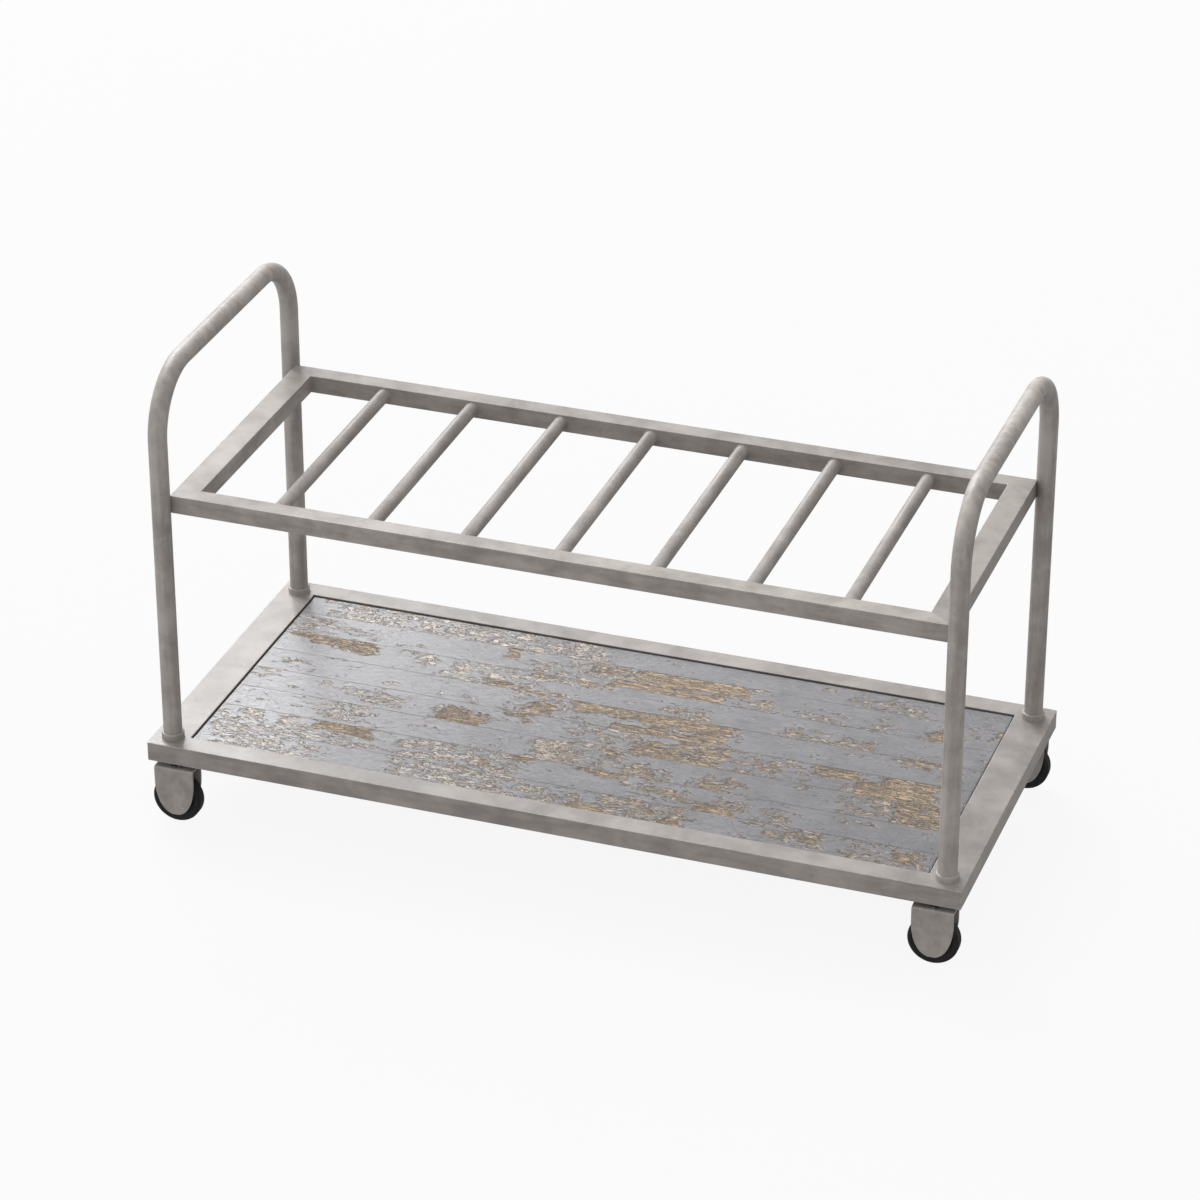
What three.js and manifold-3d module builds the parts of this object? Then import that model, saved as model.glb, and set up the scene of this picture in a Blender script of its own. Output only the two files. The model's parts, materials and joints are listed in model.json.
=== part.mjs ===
// Plant trolley: a framed deck on four swivel casters, two bent tube hoops that stand on the deck frame
// as posts and handles, and a shelf of round bars hung between them.
// Millimetres, +Z up. The origin is on the floor under the middle of the trolley, X along its length.

import * as THREE from 'three';
import { mergeVertices } from 'three/addons/utils/BufferGeometryUtils.js';
import Module from 'manifold-3d';

const wasm = await Module();
wasm.setup();

// ---- driving dimensions ----

const GAP = 0.3; // between pieces that touch

const LENGTH = 1200; // base frame, along X
const DEPTH = 521; // base frame, along Y
const BASE_TOP = 126; // top of the base frame above the floor
const BASE_HEIGHT = 29;
const BASE_END_WIDTH = 54; // width of the left and right base rails
const BASE_SIDE_WIDTH = 33.5; // width of the front and back base rails
const BASE_WALL = 2.5;

const DECK = { thickness: 18, recess: 2.5, clearance: 1.7 }; // below the frame top, around the edge
const PLANKS = { count: 8, width: 58.5, backWidth: 48.3, easedEdge: 0.6 }; // the front one takes the rest
const TONGUE = { length: 5, thickness: 5 };
const CROSS_BAR = { width: 30, thickness: 4, pitch: 350 };

const TUBE_RADIUS = 13.5; // hoop tube, 27 mm outside
const TUBE_WALL = 2;
const POST_FROM_END = 28;
const POST_FROM_SIDE = 29.5;
const HANDLE_HEIGHT = 685.5; // axis of the hoop's top bar above the floor
const BEND_RADIUS = 92; // to the tube's axis
const COLLAR = { radius: 16.3, height: 9, round: 1.8 };
const SPIGOT = { radius: 10.8, height: 30 };

const SHELF_TOP = 509.5;
const SHELF_HEIGHT = 26.5;
const SHELF_INSET_X = 38.5; // shelf outline inside the base outline
const SHELF_INSET_Y = 36;
const SHELF_END_WIDTH = 36;
const SHELF_SIDE_WIDTH = 28.5;
const SHELF_WALL = 2;
const SHELF_BARS = { count: 7, pitch: 137, radius: 10, wall: 1.5 };

const WHEEL_RADIUS = 36.5;
const WHEEL_WIDTH = 21;
const CASTER_FROM_END = 39; // pin axis from the base's end
const CASTER_FROM_SIDE = 15.4; // pin axis from the base's front or back
const FORK = { halfWidth: 29.8, depth: 30.8, sheet: 3, bend: 3.5, top: 89, bottom: 13.5, archHeight: 56 };
const PIN = { radius: 6, headRadius: 9, headHeight: 3 };
const RACE = { radius: 11, height: 2 };
const TYRE = { boreRadius: 22, shoulder: 4 };
const HUB = { boreRadius: 5.3, bossRadius: 10, webHalf: 4, rimInner: 18 };
const AXLE_RADIUS = 5;

// ---- materials ----

const finish = (color, roughness, metalness) => () =>
  new THREE.MeshStandardMaterial({ color, roughness, metalness });
const paintedMetal = finish(0xa9a49f, 0.55, 0.15);
const wornPaintedWood = finish(0x9fa3aa, 0.6, 0);
const zincSteel = finish(0x8f9194, 0.4, 0.9);
const blackRubber = finish(0x232323, 0.85, 0);
const greyPlastic = finish(0x6f6f70, 0.6, 0);

// ---- helpers ----

const trolley = new THREE.Group();

function piece(name, geometry, material, parent = trolley) {
  const mesh = new THREE.Mesh(geometry, material());
  mesh.name = name;
  parent.add(mesh);
  return mesh;
}

function closed(geometry) {
  const bare = geometry.clone();
  bare.deleteAttribute('normal');
  bare.deleteAttribute('uv');
  return mergeVertices(bare, 1e-4);
}

function toManifold(geometry) {
  const merged = closed(geometry);
  return new wasm.Manifold(
    new wasm.Mesh({
      numProp: 3,
      vertProperties: new Float32Array(merged.attributes.position.array),
      triVerts: new Uint32Array(merged.index.array),
    })
  );
}

function fromManifold(manifold) {
  const mesh = manifold.getMesh();
  const geometry = new THREE.BufferGeometry();
  geometry.setAttribute('position', new THREE.BufferAttribute(new Float32Array(mesh.vertProperties), 3));
  geometry.setIndex(new THREE.BufferAttribute(new Uint32Array(mesh.triVerts), 1));
  geometry.computeVertexNormals();
  return geometry;
}

function cut(geometry, ...tools) {
  return fromManifold(tools.reduce((solid, tool) => solid.subtract(toManifold(tool)), toManifold(geometry)));
}

function box(x0, x1, y0, y1, z0, z1) {
  const geometry = new THREE.BoxGeometry(x1 - x0, y1 - y0, z1 - z0);
  return geometry.translate((x0 + x1) / 2, (y0 + y1) / 2, (z0 + z1) / 2);
}

function uprightCylinder(x, y, z0, z1, radius, sides) {
  const geometry = new THREE.CylinderGeometry(radius, radius, z1 - z0, sides);
  return geometry.rotateX(Math.PI / 2).translate(x, y, (z0 + z1) / 2);
}

// A solid of revolution about Z from [radius, z] points that run upwards on the outside.
function turned(profile, sides) {
  const points = profile.map(([radius, z]) => new THREE.Vector2(radius, z));
  return new THREE.LatheGeometry(points, sides).rotateX(Math.PI / 2);
}

function shapeOf(points) {
  return new THREE.Shape(points.map(([x, y]) => new THREE.Vector2(x, y)));
}

function plate(points, z0, z1) {
  const geometry = new THREE.ExtrudeGeometry(shapeOf(points), { depth: z1 - z0, bevelEnabled: false });
  return geometry.translate(0, 0, z0);
}

// Extrudes a section drawn in the Y-Z plane along X, centred on x = 0.
function alongX(section, length, curveSegments = 1) {
  const geometry = new THREE.ExtrudeGeometry(section, { depth: length, bevelEnabled: false, curveSegments });
  return geometry.translate(0, 0, -length / 2).rotateY(Math.PI / 2).rotateX(Math.PI / 2);
}

function tubeSection(radius, wall) {
  const section = new THREE.Shape().absarc(0, 0, radius, 0, 2 * Math.PI);
  section.holes.push(new THREE.Path().absarc(0, 0, radius - wall, 0, 2 * Math.PI, true));
  return section;
}

// ---- mitred rectangular frames ----

// Four mitred tubes. The mitres run from the frame's outer corners to its inner corners.
function mitredFrame(prefix, frame, notches) {
  const { halfX, halfY, endWidth, sideWidth, z0, z1, wall } = frame;
  const innerX = halfX - endWidth;
  const innerY = halfY - sideWidth;
  const mitreLength = Math.hypot(endWidth, sideWidth);
  const sideTrim = (GAP / 2) * (mitreLength / sideWidth);
  const endTrim = (GAP / 2) * (mitreLength / endWidth);
  const sideRail = [
    [-halfX + sideTrim, -halfY],
    [halfX - sideTrim, -halfY],
    [innerX - sideTrim, -innerY],
    [-innerX + sideTrim, -innerY],
  ];
  const endRail = [
    [halfX, -halfY + endTrim],
    [halfX, halfY - endTrim],
    [innerX, innerY - endTrim],
    [innerX, -innerY + endTrim],
  ];
  const sideHollow = box(-halfX, halfX, -halfY + wall, -innerY - wall, z0 + wall, z1 - wall);
  const endHollow = box(innerX + wall, halfX - wall, -halfY, halfY, z0 + wall, z1 - wall);
  const halfTurn = Math.PI;
  const rails = [
    ['front', sideRail, sideHollow, 0],
    ['back', sideRail, sideHollow, halfTurn],
    ['right', endRail, endHollow, 0],
    ['left', endRail, endHollow, halfTurn],
  ];
  for (const [side, outline, hollow, turn] of rails) {
    const rail = piece(`${prefix}_${side}`, cut(plate(outline, z0, z1), hollow, ...notches), paintedMetal);
    rail.rotation.z = turn;
  }
}

function baseFrame() {
  const frame = {
    halfX: LENGTH / 2,
    halfY: DEPTH / 2,
    endWidth: BASE_END_WIDTH,
    sideWidth: BASE_SIDE_WIDTH,
    z0: BASE_TOP - BASE_HEIGHT,
    z1: BASE_TOP,
    wall: BASE_WALL,
  };
  mitredFrame('base_rail', frame, []);
}

// ---- deck ----

// A plank's cross-section from front edge y0 to back edge y1, tongue to the front and groove to the back.
function plankSection(y0, y1, z0, z1, hasTongue, hasGroove) {
  const { easedEdge } = PLANKS;
  const tongueBottom = (z0 + z1 - TONGUE.thickness) / 2;
  const tongueTop = tongueBottom + TONGUE.thickness;
  const groove = [
    [y1, tongueBottom - GAP],
    [y1 - TONGUE.length, tongueBottom - GAP],
    [y1 - TONGUE.length, tongueTop + GAP],
    [y1, tongueTop + GAP],
  ];
  const tongue = [
    [y0, tongueTop],
    [y0 - TONGUE.length, tongueTop],
    [y0 - TONGUE.length, tongueBottom],
    [y0, tongueBottom],
  ];
  return [
    [y0, z0],
    [y1, z0],
    ...(hasGroove ? groove : []),
    [y1, z1 - easedEdge],
    [y1 - easedEdge, z1],
    [y0 + easedEdge, z1],
    [y0, z1 - easedEdge],
    ...(hasTongue ? tongue : []),
  ];
}

function deck() {
  const top = BASE_TOP - DECK.recess;
  const bottom = top - DECK.thickness;
  const innerHalfX = LENGTH / 2 - BASE_END_WIDTH;
  const innerHalfY = DEPTH / 2 - BASE_SIDE_WIDTH;
  const halfX = innerHalfX - DECK.clearance;
  const halfY = innerHalfY - DECK.clearance;

  // Plank 1 lies along the back rail and the last one along the front rail.
  const seam = (index) => halfY - PLANKS.backWidth - index * PLANKS.width;
  for (let index = 0; index < PLANKS.count; index++) {
    const first = index === 0;
    const last = index === PLANKS.count - 1;
    const y0 = last ? -halfY : seam(index) + GAP / 2;
    const y1 = first ? halfY : seam(index - 1) - GAP / 2;
    const section = shapeOf(plankSection(y0, y1, bottom, top, !last, !first));
    piece(`deck_plank_${index + 1}`, alongX(section, 2 * halfX), wornPaintedWood);
  }

  const barTop = bottom - GAP;
  const reach = innerHalfY - GAP;
  [-CROSS_BAR.pitch, 0, CROSS_BAR.pitch].forEach((x, index) => {
    const halfWidth = CROSS_BAR.width / 2;
    const bar = box(x - halfWidth, x + halfWidth, -reach, reach, barTop - CROSS_BAR.thickness, barTop);
    piece(`deck_cross_bar_${index + 1}`, bar, paintedMetal);
  });
}

// ---- hoops, collars and spigots ----

const postX = LENGTH / 2 - POST_FROM_END;
const postY = DEPTH / 2 - POST_FROM_SIDE;
const postFoot = BASE_TOP + GAP;

// A flat path drawn in the Y-Z plane, as a curve in space.
class PathInYZ extends THREE.Curve {
  constructor(path) {
    super();
    this.path = path;
  }

  getPoint(t, target = new THREE.Vector3()) {
    const { x: y, y: z } = this.path.getPoint(t);
    return target.set(0, y, z);
  }
}

// One bent tube in the plane x = 0: up the front post, over the handle and down the back post.
function hoopGeometry() {
  const bendY = postY - BEND_RADIUS;
  const bendZ = HANDLE_HEIGHT - BEND_RADIUS;
  const axis = new THREE.Path();
  axis.moveTo(-postY, postFoot);
  axis.lineTo(-postY, bendZ);
  axis.absarc(-bendY, bendZ, BEND_RADIUS, Math.PI, Math.PI / 2, true);
  axis.lineTo(bendY, HANDLE_HEIGHT);
  axis.absarc(bendY, bendZ, BEND_RADIUS, Math.PI / 2, 0, true);
  axis.lineTo(postY, postFoot);
  const tube = new THREE.ExtrudeGeometry(tubeSection(TUBE_RADIUS, TUBE_WALL), {
    extrudePath: new PathInYZ(axis),
    steps: 64,
    curveSegments: 6,
    bevelEnabled: false,
  });
  return closed(tube);
}

const corners = [
  ['front_left', -1, -1],
  ['front_right', 1, -1],
  ['back_left', -1, 1],
  ['back_right', 1, 1],
];

function hoops() {
  piece('hoop_left', hoopGeometry(), paintedMetal).position.x = -postX;
  piece('hoop_right', hoopGeometry(), paintedMetal).position.x = postX;

  const bore = TUBE_RADIUS + GAP;
  const top = postFoot + COLLAR.height;
  const collar = [
    [bore, postFoot],
    [COLLAR.radius, postFoot],
    [COLLAR.radius, top - COLLAR.round],
    [COLLAR.radius - COLLAR.round * 0.3, top - COLLAR.round * 0.3],
    [COLLAR.radius - COLLAR.round, top],
    [bore, top],
    [bore, postFoot],
  ];
  for (const [corner, sideX, sideY] of corners) {
    piece(`post_collar_${corner}`, turned(collar, 20), paintedMetal).position.set(sideX * postX, sideY * postY, 0);
    const spigot = uprightCylinder(0, 0, postFoot, postFoot + SPIGOT.height, SPIGOT.radius, 16);
    piece(`post_spigot_${corner}`, spigot, zincSteel).position.set(sideX * postX, sideY * postY, 0);
  }
}

// ---- shelf ----

function shelf() {
  const z0 = SHELF_TOP - SHELF_HEIGHT;
  const notchRadius = TUBE_RADIUS + GAP;
  const notches = corners.map(([, sideX, sideY]) =>
    uprightCylinder(sideX * postX, sideY * postY, z0 - 1, SHELF_TOP + 1, notchRadius, 32)
  );
  const frame = {
    halfX: LENGTH / 2 - SHELF_INSET_X,
    halfY: DEPTH / 2 - SHELF_INSET_Y,
    endWidth: SHELF_END_WIDTH,
    sideWidth: SHELF_SIDE_WIDTH,
    z0,
    z1: SHELF_TOP,
    wall: SHELF_WALL,
  };
  mitredFrame('shelf_rail', frame, notches);

  const reach = frame.halfY - frame.sideWidth - GAP;
  const section = tubeSection(SHELF_BARS.radius, SHELF_BARS.wall);
  for (let index = 0; index < SHELF_BARS.count; index++) {
    const bar = new THREE.ExtrudeGeometry(section, { depth: 2 * reach, bevelEnabled: false, curveSegments: 8 });
    bar.translate(0, 0, -reach).rotateX(Math.PI / 2);
    const x = (index - (SHELF_BARS.count - 1) / 2) * SHELF_BARS.pitch;
    piece(`shelf_bar_${index + 1}`, closed(bar), paintedMetal).position.set(x, 0, SHELF_TOP - SHELF_HEIGHT / 2);
  }
}

// ---- casters ----

// The U-shaped fork: a bent strip, trimmed to cheeks with straight upper edges and an arched lower end.
function forkGeometry() {
  const { halfWidth, depth, sheet, bend, top, bottom, archHeight } = FORK;
  const half = depth / 2;
  const section = new THREE.Shape();
  section.moveTo(-half, bottom - 1);
  section.lineTo(-half, top - bend);
  section.absarc(-half + bend, top - bend, bend, Math.PI, Math.PI / 2, true);
  section.lineTo(half - bend, top);
  section.absarc(half - bend, top - bend, bend, Math.PI / 2, 0, true);
  section.lineTo(half, bottom - 1);
  section.lineTo(half - sheet, bottom - 1);
  section.lineTo(half - sheet, top - sheet);
  section.lineTo(-half + sheet, top - sheet);
  section.lineTo(-half + sheet, bottom - 1);
  section.closePath();
  const strip = alongX(section, 2 * halfWidth, 3);

  const exponent = 2.2; // a little fuller than an ellipse
  const steps = 14;
  const outline = [];
  for (let step = -steps; step <= steps; step++) {
    const angle = (step / steps) * (Math.PI / 2);
    const across = halfWidth * Math.sign(angle) * Math.abs(Math.sin(angle)) ** (2 / exponent);
    const down = archHeight * Math.cos(angle) ** (2 / exponent);
    outline.push([across, bottom + archHeight - down]);
  }
  outline.push([halfWidth, top + 1], [-halfWidth, top + 1]);
  const trim = plate(outline, -half - 1, half + 1).rotateX(Math.PI / 2);
  const pinHole = uprightCylinder(0, 0, top - sheet - 1, top + 1, PIN.radius + GAP, 24);
  return fromManifold(toManifold(strip).intersect(toManifold(trim)).subtract(toManifold(pinHole)));
}

function pinGeometry() {
  const crownUnderside = FORK.top - FORK.sheet - GAP;
  const top = BASE_TOP - BASE_HEIGHT - GAP;
  return turned([
    [0, crownUnderside - PIN.headHeight],
    [PIN.headRadius - 1, crownUnderside - PIN.headHeight],
    [PIN.headRadius, crownUnderside - PIN.headHeight + 1],
    [PIN.headRadius, crownUnderside],
    [PIN.radius, crownUnderside],
    [PIN.radius, top],
    [0, top],
  ], 16);
}

function raceGeometry() {
  const bottom = FORK.top + GAP;
  const bore = PIN.radius + GAP;
  return turned([
    [bore, bottom],
    [RACE.radius, bottom],
    [RACE.radius, bottom + RACE.height],
    [bore, bottom + RACE.height],
    [bore, bottom],
  ], 16);
}

function tyreGeometry() {
  const half = WHEEL_WIDTH / 2;
  const { boreRadius, shoulder } = TYRE;
  return turned([
    [boreRadius, -half],
    [WHEEL_RADIUS - shoulder, -half],
    [WHEEL_RADIUS - shoulder * 0.3, -half + shoulder * 0.3],
    [WHEEL_RADIUS, -half + shoulder],
    [WHEEL_RADIUS, half - shoulder],
    [WHEEL_RADIUS - shoulder * 0.3, half - shoulder * 0.3],
    [WHEEL_RADIUS - shoulder, half],
    [boreRadius, half],
    [boreRadius, -half],
  ], 28);
}

// A hub with a thin web between its boss and its rim.
function hubGeometry() {
  const half = WHEEL_WIDTH / 2;
  const rim = TYRE.boreRadius - GAP;
  const { boreRadius, bossRadius, webHalf, rimInner } = HUB;
  return turned([
    [boreRadius, -half],
    [bossRadius, -half],
    [bossRadius, -webHalf],
    [rimInner, -webHalf],
    [rimInner, -half],
    [rim, -half],
    [rim, half],
    [rimInner, half],
    [rimInner, webHalf],
    [bossRadius, webHalf],
    [bossRadius, half],
    [boreRadius, half],
    [boreRadius, -half],
  ], 20);
}

function casters() {
  const axleReach = FORK.depth / 2 - FORK.sheet - GAP;
  for (const [corner, sideX, sideY] of corners) {
    const caster = new THREE.Group();
    caster.position.set(sideX * (LENGTH / 2 - CASTER_FROM_END), sideY * (DEPTH / 2 - CASTER_FROM_SIDE), 0);
    trolley.add(caster);
    piece(`caster_pin_${corner}`, pinGeometry(), zincSteel, caster);
    piece(`caster_race_${corner}`, raceGeometry(), zincSteel, caster);
    piece(`caster_fork_${corner}`, forkGeometry(), paintedMetal, caster);

    const wheel = new THREE.Group();
    wheel.position.z = WHEEL_RADIUS;
    wheel.rotation.x = Math.PI / 2;
    caster.add(wheel);
    const axle = uprightCylinder(0, 0, -axleReach, axleReach, AXLE_RADIUS, 16);
    piece(`caster_axle_${corner}`, axle, zincSteel, wheel);
    piece(`caster_hub_${corner}`, hubGeometry(), greyPlastic, wheel);
    piece(`caster_tyre_${corner}`, tyreGeometry(), blackRubber, wheel);
  }
}

baseFrame();
deck();
hoops();
shelf();
casters();

export default trolley;
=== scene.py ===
"""Looks of the plant trolley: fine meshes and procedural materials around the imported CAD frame.

Lengths are in metres unless a name says millimetres. Every place comes from the frame's own boxes.
"""

import json
import math

import bmesh
import bpy
import numpy as np
from mathutils import Matrix, Vector

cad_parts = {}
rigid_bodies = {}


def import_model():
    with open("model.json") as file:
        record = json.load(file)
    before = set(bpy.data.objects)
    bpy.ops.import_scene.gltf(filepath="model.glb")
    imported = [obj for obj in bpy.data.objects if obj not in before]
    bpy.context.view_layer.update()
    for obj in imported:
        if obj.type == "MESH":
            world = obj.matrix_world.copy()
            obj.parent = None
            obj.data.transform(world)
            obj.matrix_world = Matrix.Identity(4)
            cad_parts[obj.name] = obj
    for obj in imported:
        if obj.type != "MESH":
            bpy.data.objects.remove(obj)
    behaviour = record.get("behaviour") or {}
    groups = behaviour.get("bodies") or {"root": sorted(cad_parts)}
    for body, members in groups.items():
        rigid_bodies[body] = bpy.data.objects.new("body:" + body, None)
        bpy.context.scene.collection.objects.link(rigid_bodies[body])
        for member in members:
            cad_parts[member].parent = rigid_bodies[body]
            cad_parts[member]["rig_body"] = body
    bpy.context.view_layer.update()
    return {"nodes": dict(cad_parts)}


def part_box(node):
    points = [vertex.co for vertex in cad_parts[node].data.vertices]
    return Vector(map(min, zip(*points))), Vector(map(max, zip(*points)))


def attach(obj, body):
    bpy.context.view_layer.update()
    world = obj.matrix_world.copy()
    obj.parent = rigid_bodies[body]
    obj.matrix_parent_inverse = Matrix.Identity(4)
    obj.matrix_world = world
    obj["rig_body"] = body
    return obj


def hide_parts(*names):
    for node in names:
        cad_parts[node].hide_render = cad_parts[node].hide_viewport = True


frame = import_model()

MM = 0.001
CORNERS = ("front_left", "front_right", "back_left", "back_right")
FINE = "fine_"  # a visible piece is named after the CAD node that it stands for


# ---------------------------------------------------------------- node graphs


class Graph:
    """One material's node graph, built with short calls. Every call returns an output socket."""

    def __init__(self, name):
        self.material = bpy.data.materials.new(name)
        self.material.use_nodes = True
        self.tree = self.material.node_tree
        self.shader = self.tree.nodes["Principled BSDF"]
        self.place = self.tree.nodes.new("ShaderNodeTexCoord").outputs["Object"]

    def put(self, socket, value):
        if isinstance(value, bpy.types.NodeSocket):
            self.tree.links.new(value, socket)
        else:
            socket.default_value = value

    def stretched(self, scale, turn=(0, 0, 0)):
        """Object coordinates turned by degrees, then scaled along each axis."""
        node = self.tree.nodes.new("ShaderNodeMapping")
        self.put(node.inputs["Vector"], self.place)
        node.inputs["Rotation"].default_value = [math.radians(a) for a in turn]
        node.inputs["Scale"].default_value = scale
        return node.outputs[0]

    def noise(self, scale, detail=4.0, roughness=0.55, place=None, distortion=0.0):
        node = self.tree.nodes.new("ShaderNodeTexNoise")
        self.put(node.inputs["Vector"], place or self.place)
        node.inputs["Scale"].default_value = scale
        node.inputs["Detail"].default_value = detail
        node.inputs["Roughness"].default_value = roughness
        node.inputs["Distortion"].default_value = distortion
        return node.outputs["Fac"]

    def swing(self, amount, scale, **settings):
        """Noise about 0, times amount."""
        return self.math("MULTIPLY_ADD", self.noise(scale, **settings), amount, -amount / 2)

    def cells(self, scale, place=None, output="Color", feature="F1"):
        node = self.tree.nodes.new("ShaderNodeTexVoronoi")
        node.feature = feature
        self.put(node.inputs["Vector"], place or self.place)
        node.inputs["Scale"].default_value = scale
        return node.outputs[output]

    def along(self, axis):
        node = self.tree.nodes.new("ShaderNodeSeparateXYZ")
        self.put(node.inputs[0], self.place)
        return node.outputs[axis]

    def attribute(self, name):
        node = self.tree.nodes.new("ShaderNodeAttribute")
        node.attribute_name = name
        return node.outputs["Fac"]

    def math(self, operation, a, b=0.0, c=0.0):
        node = self.tree.nodes.new("ShaderNodeMath")
        node.operation = operation
        for socket, value in zip(node.inputs, (a, b, c)):
            self.put(socket, value)
        return node.outputs[0]

    def ramp(self, value, low, high, to_low=0.0, to_high=1.0):
        """value from low to high becomes to_low to to_high, smoothly, and stays there past them."""
        node = self.tree.nodes.new("ShaderNodeMapRange")
        node.interpolation_type = "SMOOTHSTEP"
        for socket, given in zip(node.inputs, (value, low, high, to_low, to_high)):
            self.put(socket, given)
        return node.outputs[0]

    def mix(self, a, b, share):
        node = self.tree.nodes.new("ShaderNodeMix")
        node.data_type = "RGBA"
        self.put(node.inputs["Factor"], share)
        for socket, colour in ((node.inputs[6], a), (node.inputs[7], b)):
            self.put(socket, colour if isinstance(colour, bpy.types.NodeSocket) else (*colour, 1))
        return node.outputs[2]

    def bump(self, height, distance, strength=1.0, under=None):
        node = self.tree.nodes.new("ShaderNodeBump")
        self.put(node.inputs["Height"], height)
        node.inputs["Distance"].default_value = distance
        node.inputs["Strength"].default_value = strength
        if under is not None:
            self.put(node.inputs["Normal"], under)
        return node.outputs[0]

    def finish(self, colour, roughness, normal):
        self.put(self.shader.inputs["Base Color"], colour)
        self.put(self.shader.inputs["Roughness"], roughness)
        self.put(self.shader.inputs["Normal"], normal)
        return self.material


# ------------------------------------------------------------------ materials


def greige_metal(name, streaks, turn=(0, 0, 0), paleness=1.0, dullness=0.0, shine=0.55, tooth=1.0):
    """Aged greige paint on steel tube: cloudy patches, faint streaks and slightly rubbed edges.

    streaks and turn stretch and tilt the streaks. paleness multiplies the paint's two tones, dullness is
    added to the roughness, shine is the specular level and tooth scales the grain. The mesh may hold edge, 1
    on a worn edge, and grime, the share of painted shade: shadow painted near black in gaps and under rails.
    """
    g = Graph(name)
    clouds = g.noise(26, detail=5, roughness=0.62, distortion=0.4)
    broad = g.noise(7, detail=2)
    streak = g.noise(1, detail=4, roughness=0.6, place=g.stretched(streaks, turn))
    grain = g.noise(900, detail=2)
    tone = g.math("MULTIPLY_ADD", broad, 0.3, g.math("MULTIPLY", streak, 0.45))
    tone = g.math("MULTIPLY_ADD", clouds, 0.5, tone)
    dark, pale = Vector((0.173, 0.156, 0.145)) * paleness, Vector((0.277, 0.255, 0.239)) * paleness
    colour = g.mix(dark, pale, g.ramp(tone, 0.46, 0.79))
    colour = g.mix(colour, (pale + dark) / 2, g.ramp(grain, 0.5, 0.75, 0.0, 0.22))
    stains = g.ramp(g.noise(45, detail=6, roughness=0.7), 0.6, 0.74, 0.0, 0.35)
    colour = g.mix(colour, (0.085, 0.076, 0.069), stains)
    rubbed = g.math("MULTIPLY", g.attribute("edge"), g.ramp(g.noise(120, detail=3), 0.35, 0.6, 0.15, 0.75))
    colour = g.mix(colour, (0.34, 0.325, 0.305), rubbed)
    # painted shade: near black where the mesh's shade field is set, for shadow in gaps and under the rails
    colour = g.mix(colour, (0.02, 0.018, 0.017), g.math("MULTIPLY", g.attribute("grime"), 0.9))
    smear = g.ramp(clouds, 0.3, 0.7, 0.33 + dullness, 0.41 + dullness)
    roughness = g.math("ADD", smear, g.ramp(grain, 0.3, 0.7, -0.02, 0.03))
    waves = g.bump(g.noise(60, detail=2), 0.25 * MM, 0.35 * tooth)
    normal = g.bump(grain, 0.05 * MM, 0.5 * tooth, under=waves)
    g.shader.inputs["Specular IOR Level"].default_value = shine
    return g.finish(colour, roughness, normal)


def zinc_steel():
    """Dull zinc plate with crystalline patches under old dirt and grease."""
    g = Graph("zinc_plate")
    crystals = g.cells(160, output="Distance")
    clouds = g.noise(70, detail=4)
    spangle = g.ramp(g.math("ADD", crystals, clouds), 0.5, 1.2)
    colour = g.mix((0.13, 0.132, 0.135), (0.30, 0.305, 0.31), spangle)
    colour = g.mix(colour, (0.03, 0.025, 0.021), g.ramp(g.noise(210, detail=5), 0.45, 0.62, 0.15, 0.9))
    g.shader.inputs["Metallic"].default_value = 0.85
    normal = g.bump(g.noise(500, detail=3), 0.06 * MM, 0.6)
    return g.finish(colour, g.ramp(clouds, 0.3, 0.7, 0.32, 0.5), normal)


def black_rubber():
    """Dusty black tyre rubber, a little paler in patches."""
    g = Graph("tyre_rubber")
    dust = g.noise(90, detail=5, roughness=0.65)
    speck = g.noise(900, detail=2)
    colour = g.mix((0.005, 0.005, 0.0055), (0.014, 0.0135, 0.013), g.ramp(dust, 0.4, 0.72))
    colour = g.mix(colour, (0.05, 0.047, 0.044), g.ramp(speck, 0.62, 0.8, 0.0, 0.25))
    g.shader.inputs["Specular IOR Level"].default_value = 0.25
    normal = g.bump(speck, 0.08 * MM, 0.6)
    return g.finish(colour, g.ramp(dust, 0.3, 0.7, 0.55, 0.72), normal)


def wheel_plastic():
    """Moulded grey nylon with a faint sparkle-eroded surface."""
    g = Graph("wheel_plastic")
    clouds = g.noise(80, detail=4)
    fine = g.noise(1400, detail=2)
    colour = g.mix((0.055, 0.055, 0.056), (0.105, 0.104, 0.102), g.ramp(clouds, 0.35, 0.7))
    normal = g.bump(fine, 0.05 * MM, 0.7)
    return g.finish(colour, g.ramp(fine, 0.3, 0.7, 0.45, 0.6), normal)


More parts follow.
